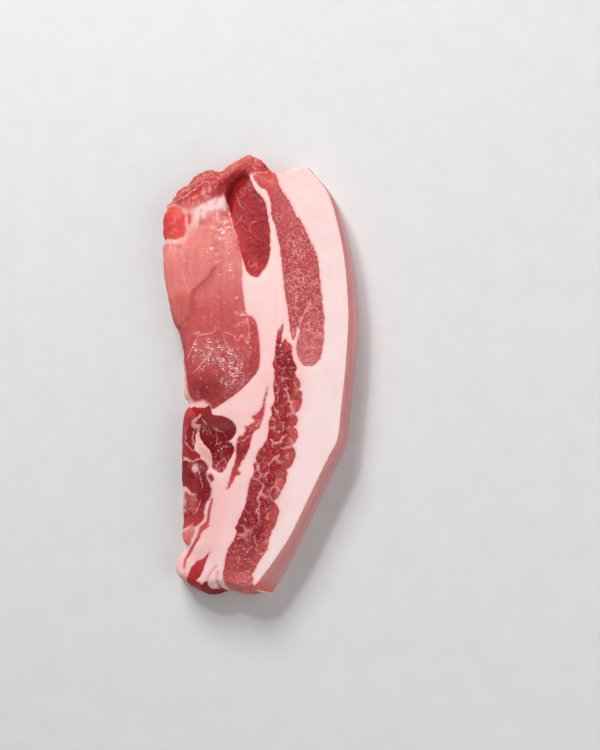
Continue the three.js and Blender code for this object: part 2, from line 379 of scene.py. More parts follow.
# The cap is the dark muscle that lies round the eye's outer shoulder. Fine white membranes branch through it,
# and a cleft, open at the loin end, parts it from the eye.
CAP = [(-1.5, 90), (0.5, 85.5), (4, 81), (6.2, 77), (7.1, 71), (8.2, 65), (8.3, 54), (6.9, 47.5), (3.6, 43),
       (1.7, 41.3), (-2.5, 43.5), (-4.5, 48), (-7, 56), (-9, 60), (-10, 65), (-11, 70.5), (-12.5, 74),
       (-13.5, 79), (-15, 83), (-15.5, 86), (-13, 90), (-8, 93), (-3, 93.5)]
CAP_TINTS = [(90, (146, 20, 30)), (84, (172, 38, 46)), (70, (173, 32, 41)), (52, (173, 30, 39)),
             (43, (198, 56, 58))]
CAP_SHADE = [(2, 82), (4.5, 72), (5, 62), (3, 52)]
CAP_LIGHT = [(-11, 78), (-11, 71), (-8.5, 64), (-6.5, 57)]
CLEFT = [(-6, 91.5), (-10, 87.5), (-12.2, 82), (-13, 75)]
CLEFT_SLIT = 1.6  # how much deeper the slit at its narrow end is

cap = muscle(CAP, CAP_TINTS, fleck=0.25, wetness=0.3)
shade(lean_tint, 0.3 * rise(cap, 0, 1) * ripple((2.2, 5.0, 5.0), 197.0))
stain(lean_tint, 0.6 * near(4.5, CAP_SHADE), (146, 18, 28))
stain(lean_tint, 0.6 * near(3.2, CAP_LIGHT), (203, 62, 61))
cleft_gap, cleft_share = line_distance(CLEFT)
relief -= CLEFT_SLIT * cleft_share * bell(cleft_gap, 0.9)
vein(0.45, [(-9.9, 84.2), (-8, 80.5), (-7, 77.5), (-5, 75.5)], 0.65)
vein(0.45, [(-4.3, 86.5), (-5, 82.5), (-8, 80.3)], 0.55)
vein(0.45, [(-10, 67), (-6.5, 70.5), (-5, 73), (-2, 73)], 0.6)
vein(0.45, [(-6.5, 70.5), (-2.5, 67), (-0.5, 68.5), (2.5, 69)], 0.6)
vein(0.45, [(-2.5, 67), (-1, 62.5)], 0.6)
vein(0.75, [(-12, 72), (-10, 65.5), (-7.5, 59)])
vein(0.5, [(-3, 49.5), (-1, 46.5), (1, 48.5), (2, 45.5)], 0.65)


# The upper streak is a flat back muscle in the fat, finely and densely marbled.
# It fans out at the loin end, and broader veins of fat part it towards its blunt lower end.
UPPER_STREAK = [(0, 92.5), (2.5, 86.5), (6.5, 83.5), (8.5, 77), (8.7, 72), (10.4, 66.5), (11.9, 60),
                (13.2, 53.5), (14.5, 41), (15.5, 33.5), (17.5, 20), (18.3, 13), (19.7, 10), (20.8, 12.5),
                (22, 16.5), (23, 14), (21.5, 10), (21, 6.5), (21.5, 2.5), (23, -0.5), (25, -2.5), (28.5, -3),
                (31.5, -1), (33.5, 3), (34.7, 17), (33.8, 27.5), (32.7, 40), (32, 47.5), (30.5, 52.5),
                (28, 58), (23.5, 67.5), (21, 71), (18.5, 76.5), (15.5, 81.5), (12.5, 87), (9.5, 93.5)]
UPPER_STREAK_TINTS = [(94, (214, 78, 75)), (86, (204, 72, 73)), (78, (189, 66, 70)), (60, (184, 68, 74)),
                      (20, (185, 73, 77)), (-3, (208, 106, 108))]
UPPER_STREAK_FLECKS = [(94, 0.2), (76, 0.45), (62, 0.9), (20, 1.0), (-3, 0.9)]
UPPER_STREAK_WET = [(94, -0.5), (84, -0.1), (74, 0.2), (-3, 0.25)]

muscle(UPPER_STREAK, UPPER_STREAK_TINTS, fleck=between(UPPER_STREAK_FLECKS),
       wetness=between(UPPER_STREAK_WET))
vein(0.7, [(28.5, 29.5), (26.5, 24.5), (23.5, 20), (22.5, 15.5), (21, 11)])
vein(0.5, [(21, 25.5), (21.5, 21.5), (23.5, 20)], 0.75)
vein(0.5, [(20.5, 38), (21, 31), (21, 25.5)], 0.65)
vein(0.5, [(24, 11), (25.5, 8), (27, 5.5), (31, 6), (34, 6.5)], 0.75)
vein(0.5, [(23, 14.5), (28, 14.5)], 0.7)


# The lower streak is belly muscle, cut where its bundles part: each bundle swells a little as a lobe of its
# own. Fat runs between some of them, and the lobes of the rind side are paler and bulge into the fat.
# Towards the belly end the lobes give way to a fine, wet grain.
LOWER_STREAK_LEFT = [(14.5, 18), (12.5, 15.5), (11.5, 11.5), (10.5, 2.5), (9.5, -1), (10.5, -5), (10, -13),
                     (10.5, -19), (9, -22), (9.5, -25), (8, -28), (7, -36.5), (3.5, -41.5), (1.5, -45),
                     (2, -47), (0.5, -48.5), (0.5, -52.5), (-1.5, -56.5), (-3, -66), (-5, -71), (-8, -78),
                     (-7.5, -80.5), (-10, -85.5), (-12, -89), (-14, -99), (-13.5, -103.5), (-13, -112)]
LOWER_STREAK_RIGHT = [(14.3, 14), (14, 9.5), (15.5, 11), (17.5, 9), (19, 6.5), (19, 3), (20, 0), (21.5, -3),
                      (20.5, -5.5), (21.5, -8), (23, -10.5), (23, -13), (21.5, -13.5), (23.5, -15),
                      (24, -17.5), (23.5, -21), (22.4, -24), (20.6, -25.2), (21.4, -26.8), (21.8, -28.8),
                      (21.2, -30.6), (19.8, -31.3), (21.3, -32.4), (21.8, -35), (21.2, -38), (19.4, -40.4),
                      (20.5, -41.8), (20.8, -44), (20.2, -47), (18.8, -50), (16.4, -51.6), (16.8, -53.2),
                      (16.4, -56), (15.4, -59), (13.8, -62), (12.2, -64.7), (10.5, -66.2), (11.6, -67.6),
                      (12.8, -70), (12.6, -73), (11.8, -76), (10.6, -78.5), (9.2, -81), (8.2, -84.6),
                      (7.2, -88.5), (4.5, -92.5), (1, -98.5), (0, -100.5), (0.5, -102.5), (-1, -112)]
LOWER_STREAK_TINTS = [(18, (190, 74, 76)), (8, (162, 40, 48)), (-10, (160, 42, 50)), (-40, (170, 48, 54)),
                      (-80, (158, 46, 54)), (-98, (184, 78, 80)), (-106, (234, 122, 108))]
LOWER_STREAK_WET = [(18, 0.6), (2, 0.7), (-12, 0.5), (-60, 0.55), (-84, 0.9), (-98, 0.9), (-104, 0.5)]
LOWER_STREAK_MIDDLE = [(-105, -6), (-68, 5), (-30, 14), (0, 16), (20, 15)]
LOBES = [(13, 11), (12, 7), (16.5, 7.5), (14.5, 1), (18.5, -0.5), (12, -4), (15.5, -5.5), (18.5, -5.5),
         (21.5, -10.5), (13, -9.5), (16.5, -10), (11, -12.5), (14.5, -14), (19, -13), (22, -16.5),
         (14.5, -18.5), (19, -17), (11, -17.5), (21, -20.5), (12.5, -22), (17.5, -22), (10, -24), (15, -25),
         (18.5, -28), (9, -29), (12.5, -30), (8.5, -33.5), (12.5, -35.5), (19, -34), (16, -38), (8, -39),
         (12, -42), (4.5, -43.5), (7.5, -45.5), (15.5, -43), (18.5, -44), (14, -46), (1, -49), (5.5, -49.5),
         (11, -49.5), (15, -49), (2.5, -53.5), (5, -55), (8.5, -55), (11.5, -53), (14, -54.5), (-0.5, -57),
         (3, -58.5), (8.5, -57), (14, -57), (1, -62.5), (7, -61.5), (10.5, -63.5), (6, -66), (5, -71),
         (10, -71.5), (-1, -67.5), (-2, -72.5), (2, -72), (-3, -75.5), (-5.5, -79), (0, -75.5), (5, -77),
         (2.5, -79), (7.5, -80.5), (-6, -84), (0, -84), (5, -86), (-9, -88), (-3, -89), (2, -91), (-11, -94),
         (-6, -94), (-1, -96), (-10, -100), (-4, -101), (-8, -106), (-3, -107)]
LOBE_LENGTHS = (1.15, 0.85)  # the lobes run along the streak
LOBE_SWELL = 0.32
LOBE_ROUND = 1.7
LOBE_WARP = 0.6
LOBE_GRAIN = 0.16

lower_streak = muscle(LOWER_STREAK_LEFT[::-1] + LOWER_STREAK_RIGHT, LOWER_STREAK_TINTS, fleck=0.4,
                      wetness=between(LOWER_STREAK_WET))
in_streak = rise(lower_streak, -0.4, 0.8)
stain(lean_tint, 0.8 * near(1.8, [(16, 8.5), (17, 6.5)]), (200, 66, 56))
rind_side = in_streak * rise(across - between(LOWER_STREAK_MIDDLE), 2.5, 6) * rise(-along, 4, 14)
stain(lean_tint, 0.75 * rind_side, (200, 88, 84))

lobe_edge = np.full(len(spots), FAR)
streaked = np.flatnonzero(lower_streak > -2)
warp = LOBE_WARP * np.stack([ripple(2.4, 7.0), ripple(2.4, 23.0)], axis=1)
gaps = np.linalg.norm(((spots + warp)[streaked, None] - np.array(LOBES)[None]) * LOBE_LENGTHS, axis=2)
first, second = np.sort(gaps, axis=1)[:, :2].T
lobe_edge[streaked] = (second - first) / 2
lobe_shade = np.zeros(len(spots))
lobe_shade[streaked] = np.random.default_rng(11).uniform(-1, 1, len(LOBES))[gaps.argmin(axis=1)]
lobed = in_streak * (1 - 0.75 * rise(-along, 80, 90))
shade(lean_tint, 0.10 * lobed * lobe_shade)
fat_shows = rise(ripple(4.5, 71.0) + 0.25 * rind_side, -0.05, 0.45)
parted = lobed * bell(lobe_edge, 0.55) * (0.12 + 0.6 * fat_shows)  # how much fat shows between lobes
# Painted shade: the creases between lobes where no fat shows are painted dark red.
stain(lean_tint, 0.4 * lobed * bell(lobe_edge, 0.8) * (1 - fat_shows), (110, 18, 30))
lobe_round = np.clip(lobe_edge / LOBE_ROUND, 0, 1)
relief += LOBE_SWELL * lobed * (np.sqrt(lobe_round * (2 - lobe_round)) - 0.6)
sparkling = in_streak * rise(-along, 76, 86) * rise(ripple(1.8, 173.0), -0.1, 0.3)
wet += sparkling * (1 - wet)
relief += LOBE_GRAIN * in_streak * ripple(1.1, 157.0)
shade(lean_tint, 0.12 * in_streak * ripple(1.2, 163.0))
vein(0.4, [(13.5, 18), (13.5, 15), (13, 14)])
vein(0.35, [(13, 6), (13.5, 7.5), (14, 8.5)])
vein(0.35, [(13.5, 5.5), (15, 4.5)])
vein(0.4, [(12, -2), (14, -4), (15, -5.5)])
vein(0.7, [(16, -11), (16.5, -12), (16.5, -14.5), (17.5, -17.5), (18.5, -21), (19, -24), (20.5, -25.5)])
vein(0.45, [(20, -9.5), (20.5, -12), (21, -13), (23.5, -13.5)])
vein(0.35, [(20.5, -16), (21, -17.5)])
vein(0.4, [(12.5, -17), (12, -18.5), (11, -19.5)])
vein(0.35, [(15, -16.5), (16.5, -17.5)])
vein(0.45, [(10, -21.5), (11, -23), (12.5, -24.5), (12.5, -25.5), (13, -27)])
vein(0.4, [(11, -28.5), (11, -30), (10.5, -31.5)])
vein(0.45, [(15, -28.5), (15.5, -31), (15, -33.5)])
vein(0.6, [(9, -37), (10, -38.5), (11.5, -39), (14, -38.5), (14.5, -37), (16, -35), (17, -35)])
vein(0.35, [(9.5, -41), (10, -39.5), (10, -38.5)])
vein(0.45, [(14, -41), (15, -41.5), (17, -41), (19.5, -41)])
vein(0.35, [(17, -44), (16, -46)])
vein(0.45, [(13, -43.5), (12.5, -45.5), (11.5, -46)])
vein(0.5, [(9.5, -47.5), (10.5, -46.5), (12, -46), (13.5, -48), (14.5, -49)])
vein(0.6, [(1, -47.5), (2.5, -48.5), (2.5, -50.5), (4, -53), (4.5, -54), (3.5, -55), (2.5, -56)])
vein(0.4, [(6, -54), (7, -53), (8.5, -52.5)])
vein(0.7, [(1.5, -55), (2.5, -56), (4, -57), (5.5, -59), (5, -60), (4.5, -61.5), (3.5, -63), (3, -65),
           (3.5, -67), (3, -69.5), (2.5, -71), (3.5, -73), (3, -76)])
vein(0.4, [(4.5, -62), (6, -64)])
vein(0.4, [(7, -53.5), (6.5, -54.5), (7, -56.5)])
vein(0.5, [(7.5, -60.5), (8.5, -62.5), (9, -64.5), (9.5, -66), (12, -67)])
vein(0.4, [(9, -67.5), (8, -69), (6.5, -71)])
vein(0.45, [(11.5, -55.5), (12, -57.5), (12.5, -60.5), (12, -62.5), (12.5, -64)])
vein(0.45, [(-2.5, -79), (-3.5, -80.5), (-5, -82.5), (-6.5, -83.5)])
vein(0.4, [(2, -81.5), (1.5, -83.5), (2.5, -86), (2, -87.5), (2.5, -89)])
vein(0.35, [(4.5, -81), (5, -82.5), (4, -85)])
vein(0.35, [(-1.5, -82.5), (-2, -84.5), (-3.5, -85)])


# The rib cluster is the dark, wet lean that lay between the ribs, in two blocks with a wedge of fat let in.
# Curls of membrane run through it, one of them thick and folded, and its lower end frays into the fat.
RIB_CLUSTER = [(-31, -19.6), (-27, -19.8), (-24.4, -19.9), (-22.2, -19.1), (-21, -21.3), (-20, -23.6),
               (-18, -24), (-15, -24.5), (-12.5, -25.5), (-9.6, -28), (-8.1, -31.5), (-8.8, -34.2),
               (-11, -36.2), (-13.8, -37), (-11, -37.4), (-9.2, -39.6), (-9.2, -42), (-10.8, -45),
               (-14, -50.5), (-16, -51.5), (-18.5, -50.5), (-20.5, -48.5), (-20, -46.5), (-21, -44.5),
               (-20.5, -42.5), (-23, -39), (-25.5, -36), (-28.5, -31), (-31, -26)]
RIB_CLUSTER_TINTS = [(-20, (146, 32, 38)), (-26, (126, 14, 26)), (-38, (126, 18, 32)), (-45, (140, 30, 42)),
                     (-51, (186, 70, 72))]
RIB_CLUSTER_FLECKS = [(-40, 0.1), (-46, 0.6), (-51, 1.0)]
RIB_CLUSTER_WET = [(-20, -2.2), (-27, -1.8), (-33, 0.1), (-38, 0.7), (-45, 0.75), (-51, 0.5)]
RIB_BLOCK = [(-35, -18), (-42, -18), (-42, -43), (-34.5, -43.5), (-31, -45), (-28.5, -44.8), (-26, -44),
             (-27, -42), (-29, -40), (-28.5, -37), (-28, -33), (-27, -30), (-26, -26), (-26.5, -22),
             (-28, -20), (-31.5, -19.5), (-32.5, -18)]
RIB_BLOCK_TINTS = [(-20, (184, 48, 52)), (-30, (144, 30, 38)), (-39, (140, 28, 37)), (-44, (178, 52, 50))]
RIB_FRESH = [(-30.6, -19.6), (-27.6, -20), (-27.8, -24.6), (-29.6, -24.6)]
RIB_FOLD = [(-26, -23.8), (-28, -25.6), (-29.4, -27.6), (-28.6, -29.2), (-26.8, -29), (-26.8, -30.4),
            (-27.2, -31.5)]
RIB_FOLD_STANDS = 0.5
RIB_WET = [(-23, -31.5), (-21, -35), (-18.5, -39), (-16.5, -43), (-16, -47)]
RIB_WEDGE = [(-27.4, -31.5), (-27.4, -35.5), (-27, -39), (-25.5, -42), (-23, -45.3), (-21.3, -48.5),
             (-20.3, -46.5), (-20.6, -43), (-22.1, -40.6), (-24, -39.3), (-25.6, -36.5), (-26.4, -33)]

muscle(RIB_CLUSTER, RIB_CLUSTER_TINTS, fleck=between(RIB_CLUSTER_FLECKS), wetness=between(RIB_CLUSTER_WET))
muscle(RIB_BLOCK, RIB_BLOCK_TINTS, fleck=0.15, wetness=0.3)
stain(lean_tint, 0.6 * near(2.5, [(-34.5, -20), (-35.5, -30), (-35.5, -40)]), (196, 78, 78))
stain(lean_tint, inside(RIB_FRESH, 1.0), (166, 0, 18))
wet -= 1.5 * inside(RIB_FRESH, 1.5)
rib_glints = near(3.2, RIB_WET) * rise(ripple(1.7, 181.0), -0.1, 0.35)
wet += rib_glints * (1 - wet)
island(RIB_WEDGE)
stain(fat_tint, 0.8 * inside(RIB_WEDGE, 0.8), (240, 172, 164))
relief += RIB_FOLD_STANDS * near(1.0, RIB_FOLD)
vein(1.2, RIB_FOLD, 0.9)
vein(0.5, [(-29, -29.5), (-29.6, -32.5), (-30, -34.5), (-29.5, -36.5), (-28.8, -38.5)], 0.75)
vein(0.5, [(-34.5, -35), (-33.5, -36.5), (-32, -38.5), (-30.5, -40), (-28.5, -40.5), (-26.5, -42),
           (-25, -43)])
vein(0.4, [(-34.5, -27.5), (-34, -31), (-33.5, -35)], 0.65)
vein(0.4, [(-31, -26), (-32.5, -28), (-33.5, -30.5)], 0.6)
vein(0.5, [(-25.5, -25.5), (-23.5, -27.5), (-22.5, -29)])
vein(0.42, [(-21.5, -28.5), (-20, -29.5), (-18, -31), (-15.5, -32), (-14, -34), (-12.5, -35)], 0.7)
vein(0.4, [(-22, -30), (-21, -32.5), (-19.5, -34.5), (-19.5, -35.5)], 0.65)
vein(0.4, [(-18.5, -32.5), (-17.5, -34.5), (-17.5, -36.5), (-16, -39)], 0.65)
vein(0.5, [(-36.5, -43), (-34.5, -43), (-32.5, -44), (-31, -44.5)])


# The flank strip is a bundle of small muscles down the lean edge, dark above and paler below.
# It frays into a salmon-coloured lobe and a long red thread that runs on through the fat.
FLANK_BLOCK = [(-42, -44), (-34.5, -44.5), (-30.5, -45.5), (-29, -46.5), (-30, -49.5), (-28.5, -50.5),
               (-26.5, -50.5), (-26, -52), (-25.5, -57), (-25.8, -60.5), (-28.5, -61.5), (-31.5, -60),
               (-33.5, -57.5), (-42, -56)]
FLANK_BLOCK_TINTS = [(-44, (130, 24, 32)), (-50, (130, 32, 38)), (-60, (150, 46, 50))]
FLANK_COLUMN = [(-29.5, -45.5), (-26, -44.5), (-24, -46), (-22, -48.5), (-22.8, -51.5), (-22.3, -54),
                (-20.8, -57), (-20.3, -60.5), (-21.3, -64), (-22.8, -66.5), (-23.6, -69), (-24, -73.5),
                (-28.5, -77), (-30.5, -75), (-30, -72), (-29, -69.5), (-28.5, -66), (-28.5, -63), (-28, -61),
                (-27.5, -59), (-27.5, -55.5), (-28, -51.5), (-28.5, -48.5)]
FLANK_COLUMN_TINTS = [(-46, (140, 24, 34)), (-54, (120, 22, 34)), (-64, (134, 32, 42)), (-76, (188, 62, 64))]
FLANK_PALE = [(-34, -60), (-30, -61.5), (-27, -61.5), (-25.5, -64), (-26.5, -67.5), (-28.5, -70.5),
              (-32, -70), (-34.8, -66.5)]
FLANK_FAT = [(-42, -58.5), (-35.6, -60), (-33.9, -62.5), (-33.4, -65), (-34.6, -67.5), (-36, -70),
             (-42, -70.5)]
FLANK_LOW = [(-42, -69.5), (-35, -70), (-31.5, -68), (-28, -71), (-28.5, -75.5), (-33, -77), (-42, -78)]
FLANK_LOBE = [(-22.4, -52.4), (-20.4, -52), (-19.2, -54.4), (-20.3, -56), (-21.6, -55)]
FLANK_WEDGE = [(-28, -46.4), (-28.9, -48.6), (-29.3, -50.2), (-28.4, -50.6), (-27.2, -50.2), (-27.4, -48.4)]
SALMON_LOBE = [(-28.5, -77), (-31, -76), (-33, -78), (-42, -80), (-42, -86), (-33.5, -85), (-32, -85.5),
               (-30.5, -84.5), (-30, -82), (-29, -80.5)]
SALMON_TINTS = [(-76, (230, 140, 132)), (-82, (220, 116, 108)), (-87, (166, 76, 76))]
RED_THREAD = [(-20, -64), (-21, -68), (-21.5, -71), (-22, -74.5), (-24, -76.5), (-26, -79.5), (-27, -82),
              (-28.5, -84.5), (-30, -87), (-31.5, -89.5), (-33, -92), (-33.5, -94.5), (-33.5, -96)]
THREAD_HALF = 0.85
THREAD_WEDGE = [(-21, -76.5), (-24.5, -79), (-26, -81.5), (-27.5, -81), (-26.5, -78.5), (-25, -76)]

muscle(FLANK_BLOCK, FLANK_BLOCK_TINTS, fleck=0.2, wetness=0.3, softness=0.8)
muscle(FLANK_COLUMN, FLANK_COLUMN_TINTS, fleck=0.2, wetness=0.4, softness=0.8)
muscle(FLANK_PALE, [(-60, (186, 84, 82)), (-70, (176, 70, 72))], fleck=0.7, wetness=0.9, softness=0.9)
muscle(FLANK_LOW, [(-69, (150, 40, 50)), (-73, (184, 62, 62)), (-78, (190, 72, 70))], fleck=0.3, wetness=0.6,
       softness=0.8)
muscle(FLANK_LOBE, [(-52, (150, 46, 50)), (-56, (166, 58, 58))], fleck=0.0, wetness=0.4, softness=0.7)
muscle(SALMON_LOBE, SALMON_TINTS, fleck=0.1, wetness=0.8, softness=0.9)
muscle(THREAD_WEDGE, [(-76, (200, 82, 80)), (-82, (206, 90, 86))], fleck=0.0, wetness=0.4, softness=0.7)
island(FLANK_FAT)
island(FLANK_WEDGE)
stain(fat_tint, 0.8 * inside(FLANK_FAT, 1.0), (232, 168, 164))
stain(fat_tint, inside(FLANK_WEDGE, 1.0), (216, 142, 140))
distance, share = line_distance(RED_THREAD)
thread = THREAD_HALF * (0.6 + 1.6 * share * (1 - share)) - distance + 0.5 * ragged
threaded = thread > lean
lean[threaded] = thread[threaded]
lean_tint[threaded] = paint_of(196, 70, 70)
soft[threaded] = 0.6
vein(0.5, [(-29.2, -49.5), (-28.8, -51), (-28.2, -52.1), (-27.4, -54)])
vein(0.55, [(-27, -48.5), (-26.5, -51), (-26, -53.5), (-25, -56), (-25, -59)])
vein(0.55, [(-38, -57), (-33.5, -58), (-32.5, -59.5), (-30.5, -61), (-28, -61.5)])
vein(0.55, [(-25.5, -64.5), (-26.5, -67.5), (-28, -70), (-29, -71.5)])
vein(0.6, [(-20.5, -64), (-22, -66.5), (-23, -70), (-23.5, -74.5)], 1.0)
vein(0.5, [(-24.5, -75), (-27, -77), (-28, -79), (-27.5, -82)], 1.0)
vein(0.5, [(-29.5, -75.5), (-31.5, -76.5), (-33, -77.5), (-38, -79)], 1.0)


# The sliver is the thin end of a belly muscle, drawn out to a point at both ends in the fat.
# Pale lines of membrane cross it.
SLIVER = [(7.5, -11.5), (6.5, -17.5), (5.5, -25), (4, -29.5), (3, -31.5), (1, -33), (-0.5, -36.5),
          (-1.5, -40.5), (-3.5, -44.5), (-5.5, -47.5), (-7, -51), (-5.5, -52.5), (-7, -53.5), (-8.5, -54),
          (-9.5, -56.5), (-12, -60), (-13, -59.5), (-12, -57.5), (-10, -50), (-8.5, -46), (-8, -38.5),
          (-7, -35), (-5, -34.5), (-3.5, -32), (-4, -30.5), (-1.5, -29.5), (1, -28), (-0.5, -26),
          (1.5, -24.5), (4, -22), (6, -15.5)]
SLIVER_TINTS = [(-12, (200, 82, 80)), (-28, (188, 60, 61)), (-42, (148, 34, 42)), (-58, (206, 76, 73))]
SLIVER_FLECKS = [(-12, 0.2), (-30, 0.8), (-40, 0.4), (-58, 0.2)]

muscle(SLIVER, SLIVER_TINTS, fleck=between(SLIVER_FLECKS), wetness=0.4, softness=0.6)
vein(0.5, [(-6.5, -36), (-4.5, -37.5), (-3.5, -36), (-1, -34.5)], 0.7)
vein(0.5, [(1.5, -31), (3, -28.5), (3.5, -27.5)], 0.7)


# The belly end is where the slice thins out: a small red muscle lies open beside strings of fat, which end
# like fingers over the edge. Under them more lean shows, and the pinkest fat lies above them.
BELLY_LEAN = [(-20.5, -89), (-22, -90), (-24.5, -92), (-26.5, -92.5), (-28.5, -94), (-31, -97.5),
              (-31.5, -99.5), (-33, -102.5), (-34, -110), (-25, -110), (-25, -104), (-27.5, -102),
              (-26, -101), (-24.5, -99), (-23.5, -96), (-21.5, -90.5)]
BELLY_LEAN_TINTS = [(-89, (204, 76, 78)), (-95, (182, 50, 58)), (-102, (178, 46, 54)), (-106, (196, 68, 66))]
STRING_GAPS = [[(-17.5, -96), (-20, -99), (-21.6, -101), (-22, -104.5)],
               [(-16.5, -99), (-17.2, -102), (-17.3, -105.5)]]
STRING_GAP_DEEP = 0.9
STRING_ENDS = [(-27.5, -102), (-26.5, -103.5), (-25, -104), (-23.5, -103.3), (-22.2, -102.5), (-21.5, -105),
               (-19.8, -105.6), (-17.8, -105.4), (-17.2, -104.6), (-16.4, -105.8), (-14.5, -106), (-13, -105),
               (-9, -105.5), (-9, -114), (-30, -114), (-29.5, -106)]
PINK_FAT = [(-14, -60), (-17, -72), (-22, -86), (-27, -93)]
FAT_CORNER = [(-34, -92), (-37.5, -97), (-35, -101.5)]

muscle(BELLY_LEAN, BELLY_LEAN_TINTS, fleck=0.1, wetness=0.6)
muscle(STRING_ENDS, [(-102, (136, 30, 40)), (-110, (146, 36, 44))], fleck=0.2, wetness=0.6)
stain(fat_tint, 0.6 * near(6, PINK_FAT), (247, 184, 182))
stain(fat_tint, near(3, FAT_CORNER), (248, 192, 188))
stain(fat_tint, 0.7 * near(1.5, [(-33.5, -99), (-34, -101)]), (244, 150, 142))
for gap in STRING_GAPS:
    relief -= STRING_GAP_DEEP * near(0.7, gap) * (lean < 0)
    stain(fat_tint, 0.6 * near(0.6, gap), (228, 140, 138))
stain(lean_tint, 0.6 * rise(across, -12, -6) * rise(-along, 97, 103), (208, 114, 112))


# The loin end is torn rather than cut: soft red lean frays over the edge, with a crest of membrane along it.
# The round red end of a bone shows at the lean edge, and white gristle lies between it and the eye.
TORN_END = [(-52, 80.5), (-41, 80.8), (-36.5, 78.8), (-31.5, 77.8), (-28.5, 78.8), (-25, 80.2), (-21, 81.6),
            (-17, 82.4), (-14, 83.5), (-12.5, 86.5), (-9.5, 88), (-5, 90.5), (-1, 92.5), (9.5, 94), (16, 94),
            (16, 112), (-52, 112)]
TORN_TINTS = [(79, (212, 114, 109)), (84, (176, 60, 61)), (92, (182, 56, 57)), (98, (176, 56, 55)),
              (106, (190, 76, 70))]
TORN_FRESH = [(-33, 82.5), (-29.5, 83.5), (-26, 86)]
TORN_HEM = [(-46, 85), (-42, 88), (-37.5, 92), (-33, 95), (-29, 98), (-23, 99), (-18.5, 98.5), (-14.5, 102),
            (-9.5, 106.5), (-3, 108.5), (3.5, 105)]
TORN_SHADED_HOLLOW = [(-16.5, 88), (-12, 91.5), (-6, 94)]
BONE_END = [(-52, 77), (-45.5, 77.5), (-44.3, 79.6), (-41.3, 80.6), (-38.2, 79.3), (-36.2, 77.2), (-35, 74.3),
            (-34.7, 69.8), (-34.9, 66.3), (-36, 64.2), (-39, 63.4), (-42.6, 63.6), (-46, 64.5), (-52, 66)]
BONE_TINTS = [(80, (226, 84, 76)), (72, (226, 70, 70)), (64, (230, 88, 74))]
BONE_RINGS = [(-41.8, 73.3, 1.9), (-40.5, 67, 1.3)]  # middle and radius
BONE_CHIP = [(-33.4, 75.6), (-32.2, 75.2), (-31.9, 73), (-32.3, 70.6), (-33.3, 70.3), (-33.7, 73)]
BONE_SEAT = [(-38, 81), (-33.5, 78), (-33, 71), (-34.5, 64)]
GRISTLE = [(-25, 81.6), (-21.2, 82.6), (-17.2, 83.6), (-15.4, 84.8), (-14.7, 82.6), (-13.4, 79),
           (-12.6, 75.9), (-13.5, 72.5), (-15.5, 75), (-19, 76.2), (-23, 76.3), (-26, 74), (-28.6, 70),
           (-30, 72), (-28.6, 77.9)]
CREST = [(-44, 81.5), (-40.3, 82.4), (-34.3, 84.3), (-29.2, 87.5), (-24, 91.7)]
CREST_SHADE = [(-42, 83.3), (-36, 85.4), (-30.3, 88.8), (-26, 92)]
CREST_STANDS = 0.8
CREST_GROOVE = 0.4

torn_end = muscle(TORN_END, TORN_TINTS, fleck=0.5, wetness=0.1, softness=1.6)
stain(lean_tint, 0.7 * near(2.6, TORN_FRESH), (222, 78, 79))
stain(lean_tint, 0.65 * near(3.4, TORN_HEM), (206, 100, 90))
frayed = rise(torn_end, -1, 3) * rise(ripple((1.3, 2.2, 2.2), 191.0), 0.1, 0.5)
frayed *= rise(outward[:, 2], -0.2, 0.8)
stain(lean_tint, 0.55 * frayed, (240, 158, 150))
# Painted shade: the hollow of torn lean beside the cleft is painted a deep dark red.
stain(lean_tint, 0.9 * near(3.2, TORN_SHADED_HOLLOW), (140, 8, 20))
stain(lean_tint, 0.6 * near(1.2, CREST_SHADE), (140, 50, 46))
# Painted shade: the cleft is painted dark red, in a band that is widest at its open end and narrows down the
# slit.
in_cleft = bell(cleft_gap, 3.2 - 1.6 * cleft_share)
stain(lean_tint, in_cleft, (136, 0, 12))
sunk = np.maximum(in_cleft, near(5, TORN_SHADED_HOLLOW))
wet *= 1 - sunk
wet -= 2.2 * sunk  # no film of moisture lies down there
marbled *= 1 - sunk
bone = muscle(BONE_END, BONE_TINTS, fleck=0.0, wetness=-0.6, softness=0.8)
muscle(BONE_CHIP, [(77, (226, 70, 68)), (70, (228, 86, 80))], fleck=0.1, wetness=0.6, softness=0.9)
for x, y, radius in BONE_RINGS:
    ring = bell(np.hypot(across - x, along - y) - radius, 0.5) * rise(bone, 0, 1)
    stain(lean_tint, 0.45 * ring * rise(ripple(1.5, 91.0), -0.3, 0.3), (248, 160, 150))
stain(fat_tint, inside(GRISTLE, 1.5), (253, 212, 209))
stain(fat_tint, 0.85 * near(3, BONE_SEAT), (240, 150, 145))
blushed = rise(ripple((2.0, 3.0, 3.0), 93.0), 0, 0.5) * rise(along, 66, 72) * (across < -13)
stain(fat_tint, 0.5 * blushed, (236, 140, 136))
vein(0.55, CREST, 0.75)
vein(0.5, [(-24, 91.7), (-22.7, 89.6), (-21.5, 87)], 0.75)
relief += CREST_STANDS * near(1.2, CREST) - CREST_GROOVE * near(1.2, CREST_SHADE)


# The rind is the skin, a tough band down the whole outer side, with fine grooves along it. It is mauve, paler
# at its foot, and its cut edge shows on the face of the thinner belly half as a thin brownish line.
RIND_EDGE = [(1, -106.5), (10, -95.5), (19, -82), (27.5, -65), (36.5, -47), (41, -38), (42.7, -24), (45, -3),
             (46.4, 22), (44.7, 47), (42, 62), (39.2, 73.5), (34.7, 84), (26, 94.5)]
RIND_CUT = [(-106, 0.6), (-60, 0.5), (-40, 0.35), (-25, 0.0), (95, -0.2)]
RIND_TINTS = [(-106, (202, 136, 138)), (-60, (212, 144, 147)), (20, (224, 132, 135)), (95, (218, 118, 121))]
RIND_CORNER = [(3, -107), (-2, -109), (-6, -110)]
GROOVE_DEEP = 0.14

